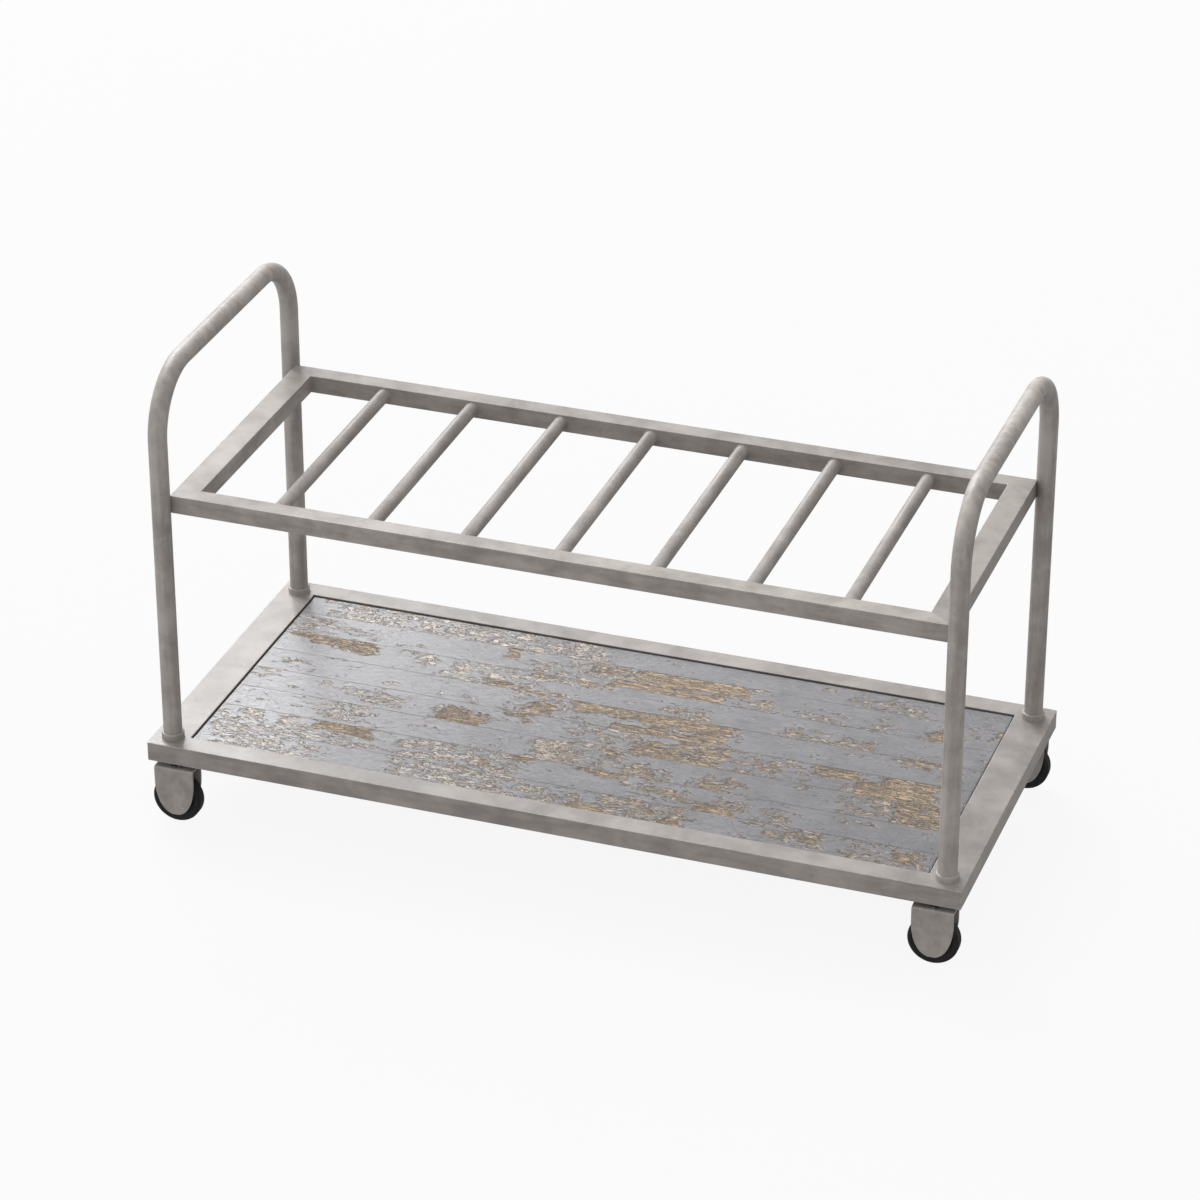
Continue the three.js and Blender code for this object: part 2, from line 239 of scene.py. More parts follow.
def worn_board():
    """Blue-grey paint that has flaked off tongue-and-groove boards.

    The mesh holds three fields: bare is above 0 where the wood shows, flaking is how broken the paint is,
    and seam is 1 along a plank's long edges, for the dark joints, and up to 8 along the deck's outer edges
    beside the rails, for painted shade in the gap there.
    """
    g = Graph("flaked_board_paint")
    finer = g.noise(1300, detail=2)
    flaking = g.attribute("flaking")
    ragged = g.swing(1.0, 1, detail=3, roughness=0.65, place=g.stretched((170, 430, 200), (0, 0, 12)))
    bare = g.math("MULTIPLY_ADD", ragged, 1.3, g.attribute("bare"))
    curled = g.stretched((84, 210, 120), (0, 0, 10))
    curls = g.swing(1.0, 1, detail=2.5, roughness=0.6, place=curled, distortion=0.9)
    kept = g.math("MULTIPLY_ADD", flaking, -0.62, g.math("ADD", curls, 0.30))
    wood_share = g.ramp(bare, -0.10, 0.10)
    paint_share = g.math("MULTIPLY", g.ramp(kept, -0.02, 0.02), g.math("SUBTRACT", 1.0, wood_share))

    # paint, cloudy with faint strokes along the planks and paler towards the left end as painted sheen of
    # the key light, with dull and pale rubs, and pale rims where it has lifted, painted highlight on the
    # lifted edges
    clouds = g.noise(22, detail=5, roughness=0.65)
    strokes = g.noise(1, detail=4, place=g.stretched((17, 200, 60)))
    mottle = g.noise(1, detail=4, roughness=0.7, place=g.stretched((110, 165, 100)))
    tone = g.math("MULTIPLY_ADD", strokes, 0.3, g.math("MULTIPLY", clouds, 0.7))
    paint = g.mix((0.078, 0.077, 0.087), (0.112, 0.110, 0.122), g.ramp(tone, 0.4, 0.6))
    # painted sheen: the paint paler towards the left end, where the key light glances off it
    left_sheen = g.ramp(g.along("X"), -0.05, -0.48)
    paint = g.mix(paint, (0.207, 0.208, 0.217), g.math("MULTIPLY", left_sheen, 0.8))
    paint = g.mix(paint, (0.075, 0.074, 0.084), g.ramp(mottle, 0.6, 0.75, 0.0, 0.4))
    paint = g.mix(paint, (0.21, 0.205, 0.21), g.ramp(mottle, 0.36, 0.25, 0.0, 0.4))
    broken = g.ramp(flaking, 0.08, 0.3)
    # painted highlight: pale rims on the paint along its broken edges
    rim_highlight = g.math("MULTIPLY", g.ramp(kept, 0.14, 0.04), broken)
    paint = g.mix(paint, (0.42, 0.41, 0.40), g.math("MULTIPLY", rim_highlight, 0.45))

    # what lies under the paint: chips of undercoat, paler towards the left end partly in their tone and
    # partly as painted sheen, and tan wood where it is worn bare
    fibres = g.noise(1, detail=5, roughness=0.7, place=g.stretched((36, 300, 60)))
    wood = g.mix((0.21, 0.147, 0.08), (0.40, 0.295, 0.18), g.ramp(fibres, 0.4, 0.58))
    # paler towards the left end: partly the undercoat's tone, partly painted sheen of the key light
    left_tone_and_sheen = g.ramp(g.along("X"), 0.16, -0.3)
    undercoat = g.mix((0.215, 0.163, 0.117), (0.42, 0.37, 0.32), g.math("MULTIPLY", left_tone_and_sheen, 0.9))
    undercoat = g.mix(undercoat, wood, wood_share)
    crumbled = g.stretched((105, 260, 150), (0, 0, 8))
    crumbs = g.swing(1.0, 1, detail=2.5, roughness=0.6, place=crumbled, distortion=0.7)
    crumbs = g.math("MULTIPLY_ADD", wood_share, -0.12, crumbs)
    chip_share = g.ramp(crumbs, 0.0, 0.04)
    chips = g.mix((0.34, 0.292, 0.232), (0.50, 0.46, 0.425), left_tone_and_sheen)
    under = g.mix(undercoat, chips, g.math("MULTIPLY", chip_share, 0.9))
    colour = g.mix(under, paint, paint_share)

    # thin dark lines: dark cracks with painted shade under the lifted edges round chips and along broken
    # paint, and the grain along the fibres of bare wood
    grained = g.stretched((34, 270, 60), (0, 0, 3))
    grain = g.swing(1.0, 1, detail=3, roughness=0.65, place=grained, distortion=0.5)
    grain_line = g.math("MULTIPLY", g.ramp(g.math("ABSOLUTE", grain), 0.055, 0.02), wood_share)
    crumb_crack_and_shade = g.ramp(g.math("ABSOLUTE", crumbs), 0.066, 0.022)
    crumb_crack_and_shade = g.math("MULTIPLY", crumb_crack_and_shade, g.math("SUBTRACT", 1.0, paint_share))
    kept_crack_and_shade = g.math("MULTIPLY", g.ramp(g.math("ABSOLUTE", kept), 0.072, 0.022), broken)
    line = g.math("MAXIMUM", g.math("MAXIMUM", grain_line, crumb_crack_and_shade), kept_crack_and_shade)
    line = g.math("MULTIPLY", line, g.ramp(finer, 0.3, 0.5, 0.6, 1.0))
    colour = g.mix(colour, (0.036, 0.022, 0.016), g.math("MULTIPLY", line, 0.92))
    # dark joints between the planks, and painted shade in the gap along the deck's outer edges
    gap = g.math("MULTIPLY", g.attribute("seam_and_gap_shade"), g.ramp(clouds, 0.42, 0.56, 0.015, 0.13))
    colour = g.mix(colour, (0.030, 0.026, 0.024), g.math("MINIMUM", gap, 1.0))

    roughness = g.math("MULTIPLY_ADD", paint_share, -0.32, g.ramp(mottle, 0.3, 0.7, 0.66, 0.74))
    g.shader.inputs["Specular IOR Level"].default_value = 0.85
    layers = g.math("MULTIPLY_ADD", paint_share, 1.0, g.math("MULTIPLY", chip_share, 0.6))
    layers = g.math("MULTIPLY_ADD", line, -0.6, g.math("MULTIPLY_ADD", fibres, 0.8, layers))
    relief = g.bump(layers, 0.6 * MM, 0.85)
    normal = g.bump(finer, 0.05 * MM, 0.4, under=relief)
    return g.finish(colour, roughness, normal)


# --------------------------------------------------------------- mesh helpers


def piece(node, vertices, faces, material, slot, sharp_angle=40, **fields):
    """A visible mesh that stands for a CAD node and rides on that node's body."""
    mesh = bpy.data.meshes.new(FINE + node)
    mesh.from_pydata([tuple(v) for v in vertices], [], [tuple(f) for f in faces])
    set_fields(mesh, fields)
    return placed(node, mesh, material, sharp_angle)


def set_fields(mesh, fields):
    """Stores one number per point under each name, for the materials to read."""
    for name, values in fields.items():
        field = mesh.attributes.new(name, "FLOAT", "POINT")
        field.data.foreach_set("value", np.asarray(values, np.float32))


def placed(node, mesh, material, sharp_angle=40):
    mesh.materials.append(material)
    mesh.shade_smooth()
    mesh.set_sharp_from_angle(angle=math.radians(sharp_angle))
    shape = bpy.data.objects.new(FINE + node, mesh)
    bpy.context.scene.collection.objects.link(shape)
    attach(shape, frame["nodes"][node]["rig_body"])
    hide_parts(node)
    return shape


def weight_normals(shape):
    """Keeps flat faces flat beside their narrow rounded edges."""
    weighted = shape.modifiers.new("flat_faces", "WEIGHTED_NORMAL")
    weighted.keep_sharp = True
    return shape


def centre_of(node):
    low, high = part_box(node)
    return (low + high) / 2


def rounded_outline(points, radius, steps=4):
    """A closed outline with each corner replaced by an arc.

    Returns the points, and for each how near it is to the middle of its arc: 0 at the ends, 1 in the middle.
    """
    points = [Vector(p) for p in points]
    outline, middle = [], []
    for index, corner in enumerate(points):
        before = (points[index - 1] - corner).normalized()
        after = (points[(index + 1) % len(points)] - corner).normalized()
        half_angle = before.angle(after) / 2
        reach = radius / math.tan(half_angle)
        centre = corner + (before + after).normalized() * (radius / math.sin(half_angle))
        first = corner + before * reach - centre
        last = corner + after * reach - centre
        sweep = first.angle_signed(last) if abs(first.angle_signed(last)) > 1e-9 else 0
        for step in range(steps + 1):
            share = step / steps
            arm = first.copy()
            arm.rotate(Matrix.Rotation(-sweep * share, 2))
            outline.append(centre + arm)
            middle.append(math.sin(math.pi * share))
    return outline, middle


def loop_faces(rings, size, closed_ring=True, close_ends=True):
    """Quads between consecutive rings of equally many points, with a cap on the first and last ring."""
    faces = []
    for ring in range(rings - 1):
        for point in range(size if closed_ring else size - 1):
            following = (point + 1) % size
            a, b = ring * size, (ring + 1) * size
            faces.append((a + point, a + following, b + following, b + point))
    if close_ends:
        faces.append(tuple(range(size - 1, -1, -1)))
        faces.append(tuple(range((rings - 1) * size, rings * size)))
    return faces


def turned(outline, sides):
    """A solid of revolution about Z from a closed outline of (radius, height) points off the axis."""
    vertices = []
    for side in range(sides):
        angle = 2 * math.pi * side / sides
        cos, sin = math.cos(angle), math.sin(angle)
        vertices += [(radius * cos, radius * sin, height) for radius, height in outline]
    size = len(outline)
    faces = []
    for side in range(sides):
        a, b = side * size, (side + 1) % sides * size
        faces += [(a + p, b + p, b + (p + 1) % size, a + (p + 1) % size) for p in range(size)]
    return vertices, faces


def moved(vertices, matrix):
    return [matrix @ Vector(v) for v in vertices]


def outward(mesh):
    """Turns every face of a closed mesh outwards."""
    shape = bmesh.new()
    shape.from_mesh(mesh)
    bmesh.ops.recalc_face_normals(shape, faces=shape.faces)
    shape.to_mesh(mesh)
    shape.free()


# ---------------------------------------------------------------------- frame

EDGE_ROUND = 0.9 * MM
OUTER_CORNER = 1.8 * MM
INNER_CORNER = 1.0 * MM
# share of painted shade on the base rails' inner faces, in the gap beside the deck
GAP_SHADE = 0.6


def mitred_frame(prefix, material, slot, shaded_material=None, shaded_inside=False):
    """Four rails cut from one swept outline, so that their mitres close without a visible joint.

    shaded_material, where given, is a darker copy of the paint for the back and right rails: painted shade.
    shaded_inside paints shade on the inner faces, for the shadowed gap between the base rails and the deck.
    """
    end_low, end_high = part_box(prefix + "_left")
    side_low, side_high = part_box(prefix + "_front")
    outer = Vector((-end_low.x, -side_low.y))
    inner = Vector((-end_high.x, -side_high.y))
    z0, z1 = end_low.z, end_high.z
    side_width = outer.y - inner.y

    # across the rail: 0 at the outer face, 1 at the inner one
    profile, rounding = rounded_outline(
        [(0, z0), (0, z1), (side_width, z1), (side_width, z0)], EDGE_ROUND
    )
    steps = 8

    def station(sign_x, sign_y, step):
        """One line across the frame's corner: the end rail's face at step 0, the side rail's at the last.

        Returns its outer and inner end, and how near it is to the middle of the corner.
        """
        angle = math.pi / 2 * step / steps
        turn = Vector((math.cos(angle), math.sin(angle)))
        outside = outer - Vector((OUTER_CORNER, OUTER_CORNER)) + turn * OUTER_CORNER
        inside = inner - Vector((INNER_CORNER, INNER_CORNER)) + turn * INNER_CORNER
        outside = Vector((sign_x * outside.x, sign_y * outside.y))
        inside = Vector((sign_x * inside.x, sign_y * inside.y))
        return outside, inside, math.sin(2 * angle)

    half = steps // 2
    to_side = range(half, steps + 1)
    to_end = range(half, -1, -1)
    rails = {
        "front": ((-1, -1), (1, -1), to_side),
        "back": ((1, 1), (-1, 1), to_side),
        "left": ((-1, 1), (-1, -1), to_end),
        "right": ((1, -1), (1, 1), to_end),
    }
    for side, (start, end, order) in rails.items():
        stations = [station(*start, step) for step in order]
        stations += [station(*end, step) for step in reversed(order)]
        vertices, edge, grime = [], [], []
        for outside, inside, corner_line in stations:
            for (across, z), round_middle in zip(profile, rounding):
                share = across / side_width
                spot = outside.lerp(inside, share)
                vertices.append((spot.x, spot.y, z))
                edge.append(max(round_middle, corner_line * (share < 0.2)))
                # painted shade on the inner face, where the gap beside the deck lies in shadow
                grime.append(GAP_SHADE * (shaded_inside and share > 0.99 and z < z1))
        faces = loop_faces(len(stations), len(profile))
        # the back and right rails take the darker copy of the paint: painted shade
        paint = shaded_material if shaded_material and side in ("back", "right") else material
        rail = piece(f"{prefix}_{side}", vertices, faces, paint, slot, edge=edge, grime=grime)
        outward(rail.data)
        weight_normals(rail)


# ---------------------------------------------------------------------- hoops

HOOP_SIDES = 48
HOOP_BEND = 92 * MM
HOOP_BEND_STEPS = 28
HOOP_WALL = 2 * MM
COLLAR_ROUND = 1.8 * MM
SEAT = 0.3 * MM  # the CAD gap under a tube or collar, closed here


def hoop(node, material):
    low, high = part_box(node)
    radius = (high.x - low.x) / 2
    middle_x = (low.x + high.x) / 2
    post_y = high.y - radius
    top = high.z - radius
    foot = low.z - SEAT
    stations = [(-post_y, foot, 0.0)]
    for side in (-1, 1):
        for step in range(HOOP_BEND_STEPS + 1):
            angle = math.pi / 2 * (step / HOOP_BEND_STEPS + (side > 0))
            y = side * (post_y - HOOP_BEND) - HOOP_BEND * math.cos(angle)
            stations.append((y, top - HOOP_BEND + HOOP_BEND * math.sin(angle), angle))
    stations.append((post_y, foot, math.pi))

    def skin(tube_radius):
        points = []
        for y, z, angle in stations:
            for side in range(HOOP_SIDES):
                turn = 2 * math.pi * side / HOOP_SIDES
                across = tube_radius * math.cos(turn)
                points.append((
                    middle_x + tube_radius * math.sin(turn),
                    y - across * math.cos(angle),
                    z + across * math.sin(angle),
                ))
        return points

    vertices = skin(radius) + skin(radius - HOOP_WALL)
    size = len(stations) * HOOP_SIDES
    outside = loop_faces(len(stations), HOOP_SIDES, close_ends=False)
    inside = [tuple(size + v for v in reversed(face)) for face in outside]
    rim_highlight = []
    for ring in (0, (len(stations) - 1) * HOOP_SIDES):
        for side in range(HOOP_SIDES):
            a, b = ring + side, ring + (side + 1) % HOOP_SIDES
            rim_highlight.append((a, b, size + b, size + a))
    tube = piece(node, vertices, outside + inside + rim_highlight, material, "greige_metal")
    outward(tube.data)


def collar(corner, material):
    """A ring round the foot of a post, with a rounded upper edge."""
    node = f"post_collar_{corner}"
    low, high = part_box(node)
    post_low, post_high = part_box("hoop_left")
    bore = (post_high.x - post_low.x) / 2
    outside = (high.x - low.x) / 2
    z0, z1 = low.z - SEAT, high.z
    outline = [(bore, z0), (outside, z0)]
    steps = 8
    arc_radius, arc_height = outside - COLLAR_ROUND, z1 - COLLAR_ROUND
    for step in range(steps + 1):
        angle = math.pi / 2 * step / steps
        across, up = COLLAR_ROUND * math.cos(angle), COLLAR_ROUND * math.sin(angle)
        outline.append((arc_radius + across, arc_height + up))
    outline.append((bore, z1))
    vertices, faces = turned(outline, 64)
    centre = centre_of(node)
    vertices = moved(vertices, Matrix.Translation((centre.x, centre.y, 0)))
    ring = piece(node, vertices, faces, material, "greige_metal", 50)
    outward(ring.data)


# ---------------------------------------------------------------------- shelf

BAR_SIDES = 40
BAR_FILLET = 1.2 * MM


def shelf_bar(index, material):
    """A round bar that flares a little where it is welded to the side rails."""
    node = f"shelf_bar_{index}"
    low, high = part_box(node)
    radius = (high.x - low.x) / 2
    reach = high.y + SEAT
    steps = 6
    flare = []
    for step in range(steps + 1):
        angle = math.pi / 2 * step / steps
        swell = BAR_FILLET * (1 - math.cos(math.pi / 2 - angle))
        flare.append((reach - BAR_FILLET * math.sin(angle), radius + swell))
    stations = [(-y, r) for y, r in flare] + [(y, r) for y, r in reversed(flare)]
    centre = centre_of(node)
    vertices = []
    for y, station_radius in stations:
        for side in range(BAR_SIDES):
            turn = 2 * math.pi * side / BAR_SIDES
            vertices.append((
                centre.x + station_radius * math.cos(turn),
                y,
                centre.z + station_radius * math.sin(turn),
            ))
    bar = piece(node, vertices, loop_faces(len(stations), BAR_SIDES), material, "greige_metal", 60)
    outward(bar.data)


# -------------------------------------------------------------------- casters

FORK_SHEET = 3 * MM
FORK_BEND = 3.5 * MM
FORK_ARCH = 56 * MM
FORK_EXPONENT = 2.2
FORK_COLUMNS = 12
# painted shadow of the base rail on the crown: its darkness and how far in from the cheek it fades in
CROWN_SHADE = 0.95
CROWN_SHADE_FADE = 9 * MM


def fork_rows(low, high):
    """Stations along the bent strip from one cheek's tip to the other: (y, z, normal, half width)."""
    half_depth = (high.y - low.y) / 2
    half_width = (high.x - low.x) / 2
    cheek = []
    arch_steps = 26
    for step in range(2, arch_steps + 1):
        angle = math.pi / 2 * step / arch_steps
        width = half_width * math.sin(angle) ** (2 / FORK_EXPONENT)
        z = low.z + FORK_ARCH * (1 - abs(math.cos(angle)) ** (2 / FORK_EXPONENT))
        cheek.append((-half_depth, z, Vector((0, -1, 0)), width))
    bend = []
    bend_steps = 8
    for step in range(bend_steps + 1):
        angle = math.pi / 2 * step / bend_steps
        normal = Vector((0, -math.cos(angle), math.sin(angle)))
        y = -half_depth + FORK_BEND + FORK_BEND * normal.y
        bend.append((y, high.z - FORK_BEND + FORK_BEND * normal.z, normal, half_width))
    front = cheek + bend
    back = [(-y, z, Vector((0, -n.y, n.z)), w) for y, z, n, w in reversed(front)]
    return front + back


def fork(corner, material):
    """A bent strip with two round-ended cheeks, with a painted shadow on the crown under the base rail."""
    node = f"caster_fork_{corner}"
    low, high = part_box(node)
    middle = (low + high) / 2
    half_depth = (high.y - low.y) / 2
    rows = fork_rows(low, high)
    outer, inner, grime = [], [], []
    for y, z, normal, width in rows:
        for column in range(FORK_COLUMNS + 1):
            x = width * (2 * column / FORK_COLUMNS - 1)
            spot = Vector((middle.x + x, middle.y + y, z))
            outer.append(spot)
            inner.append(spot - normal * FORK_SHEET)
            # painted shadow: dark on the crown where it lies under the base rail
            from_cheek = (half_depth - abs(y)) / CROWN_SHADE_FADE
            grime.append(CROWN_SHADE * max(0.0, min(1.0, from_cheek - 0.6)))
    size = len(outer)
    wide = FORK_COLUMNS + 1
    faces = []
    for row in range(len(rows) - 1):
        for column in range(FORK_COLUMNS):
            a = row * wide + column
            quad = (a, a + 1, a + wide + 1, a + wide)
            faces += [quad, tuple(size + v for v in reversed(quad))]
        for a in (row * wide, row * wide + FORK_COLUMNS):
            faces.append((a, a + wide, size + a + wide, size + a))
    for row in (0, len(rows) - 1):
        for column in range(FORK_COLUMNS):
            a = row * wide + column
            faces.append((a, a + 1, size + a + 1, size + a))
    shape = piece(node, outer + inner, faces, material, "greige_metal", 35, grime=grime * 2)
    outward(shape.data)
    rim = shape.modifiers.new("rounded_rim", "BEVEL")
    rim.width = 0.6 * MM
    rim.segments = 3
    rim.limit_method = "ANGLE"
    rim.angle_limit = math.radians(50)
    weight_normals(shape)


def upright_ring(node, outline, sides, material, slot, round_edges=0.4 * MM):
    """A turned piece about the vertical line through a CAD node, from its (radius, height) outline."""
    outline, _ = rounded_outline(outline, round_edges, 3)
    vertices, faces = turned(outline, sides)
    centre = centre_of(node)
    vertices = moved(vertices, Matrix.Translation((centre.x, centre.y, 0)))
    ring = piece(node, vertices, faces, material, slot, 50)
    outward(ring.data)


def wheel_part(node, outline, sides, material, slot, round_edges):
    """A turned piece about the wheel's axle, which lies along Y."""
    outline, _ = rounded_outline(outline, round_edges, 4)
    vertices, faces = turned(outline, sides)
    onto_axle = Matrix.Translation(centre_of(node)) @ Matrix.Rotation(math.pi / 2, 4, "X")
    part = piece(node, moved(vertices, onto_axle), faces, material, slot, 50)
    outward(part.data)


def caster(corner, metal, zinc, rubber, plastic):
    fork(corner, metal)

    pin = f"caster_pin_{corner}"
    low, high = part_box(pin)
    head = (high.x - low.x) / 2
    stem, core, head_height = 6 * MM, 0.2 * MM, 3 * MM
    outline = [
        (core, low.z), (head, low.z), (head, low.z + head_height),
        (stem, low.z + head_height), (stem, high.z + SEAT), (core, high.z + SEAT),
    ]
    upright_ring(pin, outline, 40, zinc, "zinc_steel", 0.09 * MM)

    race = f"caster_race_{corner}"
    low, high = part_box(race)
    outside, bore = (high.x - low.x) / 2, stem + SEAT
    outline = [(bore, low.z), (outside, low.z), (outside, high.z), (bore, high.z)]
    upright_ring(race, outline, 48, zinc, "zinc_steel")

    tyre = f"caster_tyre_{corner}"
    low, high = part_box(tyre)
    radius, half = (high.z - low.z) / 2, (high.y - low.y) / 2
    hub = f"caster_hub_{corner}"
    hub_low, hub_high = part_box(hub)
    rim = (hub_high.z - hub_low.z) / 2
    tyre_shoulders(tyre, rim, radius, half, rubber)

    boss, web, rim_inner, bore = 10 * MM, 4 * MM, 18 * MM, 5.3 * MM
    outline = [
        (bore, -half), (boss, -half), (boss, -web), (rim_inner, -web), (rim_inner, -half), (rim, -half),
        (rim, half), (rim_inner, half), (rim_inner, web), (boss, web), (boss, half), (bore, half),
    ]
    wheel_part(hub, outline, 64, plastic, "wheel_centre", 0.5 * MM)

    axle = f"caster_axle_{corner}"
    low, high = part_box(axle)
    radius, half = (high.z - low.z) / 2, (high.y - low.y) / 2
    outline = [(core, -half), (radius, -half), (radius, half), (core, half)]
    wheel_part(axle, outline, 40, zinc, "zinc_steel", 0.09 * MM)


def tyre_shoulders(node, rim, radius, half, rubber):
    """The tyre's section: flat tread, round shoulders and slightly dished side walls."""
    shoulder = 5 * MM
    steps = 8
    right = []
    for step in range(steps + 1):
        angle = math.pi / 2 * step / steps
        right.append((radius - shoulder * (1 - math.cos(angle)), half - shoulder * (1 - math.sin(angle))))
    wall = [(radius - shoulder - 1.2 * MM, half - 0.1 * MM), (radius - shoulder - 2 * MM, half - 0.6 * MM)]
    wall += [(rim + 1.4 * MM, half - 0.8 * MM), (rim + 0.3 * MM, half - 1.4 * MM)]
    upper = right + wall
    outline = [(r, -h) for r, h in reversed(upper)] + upper
    vertices, faces = turned(outline, 96)
    onto_axle = Matrix.Translation(centre_of(node)) @ Matrix.Rotation(math.pi / 2, 4, "X")
    part = piece(node, moved(vertices, onto_axle), faces, rubber, "black_rubber", 50)
    outward(part.data)


# ----------------------------------------------------------------------- deck

# Worn places on the deck in millimetres from its middle: lowest and highest x, then y, how much of the
# place is worn through, and how far its far end leans to the front.
BARE_PATCHES = (
    (-534, -398, 92, 125, 0.75, -24), (-400, -316, 113, 122, 0.5, 0), (-214, -176, 140, 178, 0.45, -6),
    (-170, -116, 112, 152, 0.35, -20), (-150, -20, 104, 120, 0.6, 0), (-80, 60, 140, 172, 0.55, -12),
    (30, 168, 142, 184, 0.85, 6), (-36, 140, 118, 142, 0.8, 2), (-222, -190, 60, 92, 0.4, -14),
    (-200, -84, 56, 76, 0.6, -8), (-122, -84, 8, 38, 1.0, 0),
    (-64, 60, 30, 62, 0.68, -2), (40, 172, 28, 64, 0.9, 0), (4, 168, -2, 22, 0.9, 0),
    (130, 176, 0, 60, 0.7, 0),
    (-152, -112, -26, 2, 0.5, -8), (-240, -168, -54, -14, 0.75, -8), (56, 160, -54, -8, 0.55, 4),
    (110, 196, -40, 0, 0.5, 0), (130, 196, -60, -30, 0.5, 0), (14, 58, -80, -56, 0.5, 0),
    (310, 392, -30, 4, 0.6, 4), (384, 500, -62, -22, 0.9, 0), (420, 496, -40, 0, 0.8, 26),
    (452, 500, -30, 14, 0.75, -14),
    (452, 532, -118, -60, 0.55, -14), (-392, -308, -142, -116, 0.8, -8), (-110, -62, -128, -112, 0.7, 0),
    (0, 78, -128, -114, 0.7, 0), (180, 246, -176, -150, 0.7, 0), (18, 72, -222, -206, 0.8, 0),
    (120, 142, -208, -184, 0.6, 0), (160, 196, -222, -202, 0.7, 0), (484, 526, -216, -182, 0.7, -6),
    (436, 486, 34, 58, 0.5, -6), (434, 470, 120, 152, 0.5, 0), (522, 546, 150, 190, 0.5, 0),
    (-520, -464, 24, 44, 0.4, 8), (318, 380, -200, -180, 0.4, -10), (64, 126, 70, 90, 0.45, -8),
    (176, 230, -112, -84, 0.4, 0), (66, 116, -110, -84, 0.35, 0), (-140, -94, -166, -136, 0.45, -4),
)
FLAKED_PATCHES = (
    (-500, -60, 178, 226, 0.5, 0), (150, 226, 118, 150, 0.6, 0), (262, 316, 118, 150, 0.6, 0),
    (60, 140, 58, 100, 0.6, 0), (250, 380, 56, 90, 0.65, 0), (-332, -296, 86, 118, 0.8, -8),
    (-380, -290, -50, -4, 0.5, -10), (-412, -330, -108, -60, 0.55, -10), (-78, -20, -116, -56, 0.95, -20),
    (60, 120, -113, -76, 0.7, 0), (170, 236, -113, -78, 0.8, 0), (-545, -290, -174, -116, 0.4, 0),
    (-262, -76, -170, -116, 0.55, -14), (96, 170, -164, -122, 0.7, -8), (-250, -56, -226, -174, 0.56, 0),
    (-530, -360, -226, -174, 0.42, -14), (300, 384, -220, -174, 0.6, -14), (314, 430, 178, 214, 0.5, 0),
    (-80, 50, -226, -180, 0.5, 0), (190, 262, -176, -130, 0.6, 0), (280, 330, -174, -130, 0.5, 0),
    (40, 196, -226, -178, 0.55, 0), (200, 310, -56, 0, 0.45, -10), (-60, 80, -56, 0, 0.4, 0),
    (-280, -120, 62, 118, 0.45, -10), (-545, -500, -30, 20, 0.45, -8), (370, 460, -114, -60, 0.4, 0),
    (450, 500, 118, 170, 0.5, 0), (340, 400, 118, 146, 0.45, 0), (-500, -400, 118, 170, 0.3, -10),
    (-545, -500, 118, 176, 0.5, 0), (-160, -60, 4, 58, 0.4, 0), (380, 520, 34, 60, 0.5, 0),
    (-20, 60, -112, -60, 0.4, 0), (-545, -300, -100, -60, 0.12, 0), (400, 545, -226, -176, 0.35, -10),
    (-130, -20, 120, 176, 0.35, -14), (360, 400, -60, -20, 0.4, 0),
)
TOP_STEP_X = 1.2 * MM
TOP_STEP_Y = 0.8 * MM
EASED_EDGE = 0.3 * MM
TONGUE_LENGTH = 5 * MM
TONGUE_HALF = 2.5 * MM
PAINT_DEPTH = 0.45 * MM
WOOD_DEPTH = 0.3 * MM
UNDERSIDE_BARE = -1.0
UNDERSIDE_FLAKING = 0.1


def lattice_noise(x, y, seed):
    """Gradient noise, about -1 to 1, with one cell a unit wide."""
    x0, y0 = np.floor(x).astype(np.int64), np.floor(y).astype(np.int64)
    fx, fy = x - x0, y - y0

    def corner(dx, dy):
        mixed = (x0 + dx) * 374761393 + (y0 + dy) * 668265263 + seed * 974634777
        mixed = (mixed ^ (mixed >> 13)) * 1274126177
        angle = ((mixed ^ (mixed >> 16)) & 0xFFFF) * (2 * math.pi / 0x10000)
        return np.cos(angle) * (fx - dx) + np.sin(angle) * (fy - dy)

    u, v = fx * fx * fx * (fx * (fx * 6 - 15) + 10), fy * fy * fy * (fy * (fy * 6 - 15) + 10)
    front = corner(0, 0) * (1 - u) + corner(1, 0) * u
    back = corner(0, 1) * (1 - u) + corner(1, 1) * u
    return 1.5 * (front * (1 - v) + back * v)


def fractal(x, y, seed, octaves, fade=0.55):
    total, weight = 0, 1.0
    for octave in range(octaves):
        total = total + weight * lattice_noise(x * 2**octave + 17 * octave, y * 2**octave, seed + octave)
        weight *= fade
    return total


def patch_field(x, y, patches, plank, reach):
    """The worn share at each point: a patch's own share well inside it, fading to 0 outside it."""
    y_low, y_high = plank
    worn = np.zeros(x.shape)
    for x0, x1, y0, y1, share, lean in patches:
        if not y_low < (y0 + y1) / 2 < y_high:
            continue
        slope = lean * (x - (x0 + x1) / 2) / (x1 - x0)
        from_side = np.minimum(x - x0, x1 - x)
        low = y0 - 30 if y0 - y_low < 5 else y0
        high = y1 + 30 if y_high - y1 < 5 else y1
        from_edge = np.minimum(y - slope - low, high - y + slope)
        inside = -np.hypot(np.minimum(from_side - reach, 0), np.minimum((from_edge - reach) * 1.3, 0))
        worn = np.maximum(worn, share * np.clip(1 + inside / (2 * reach), 0, 1))
    return worn


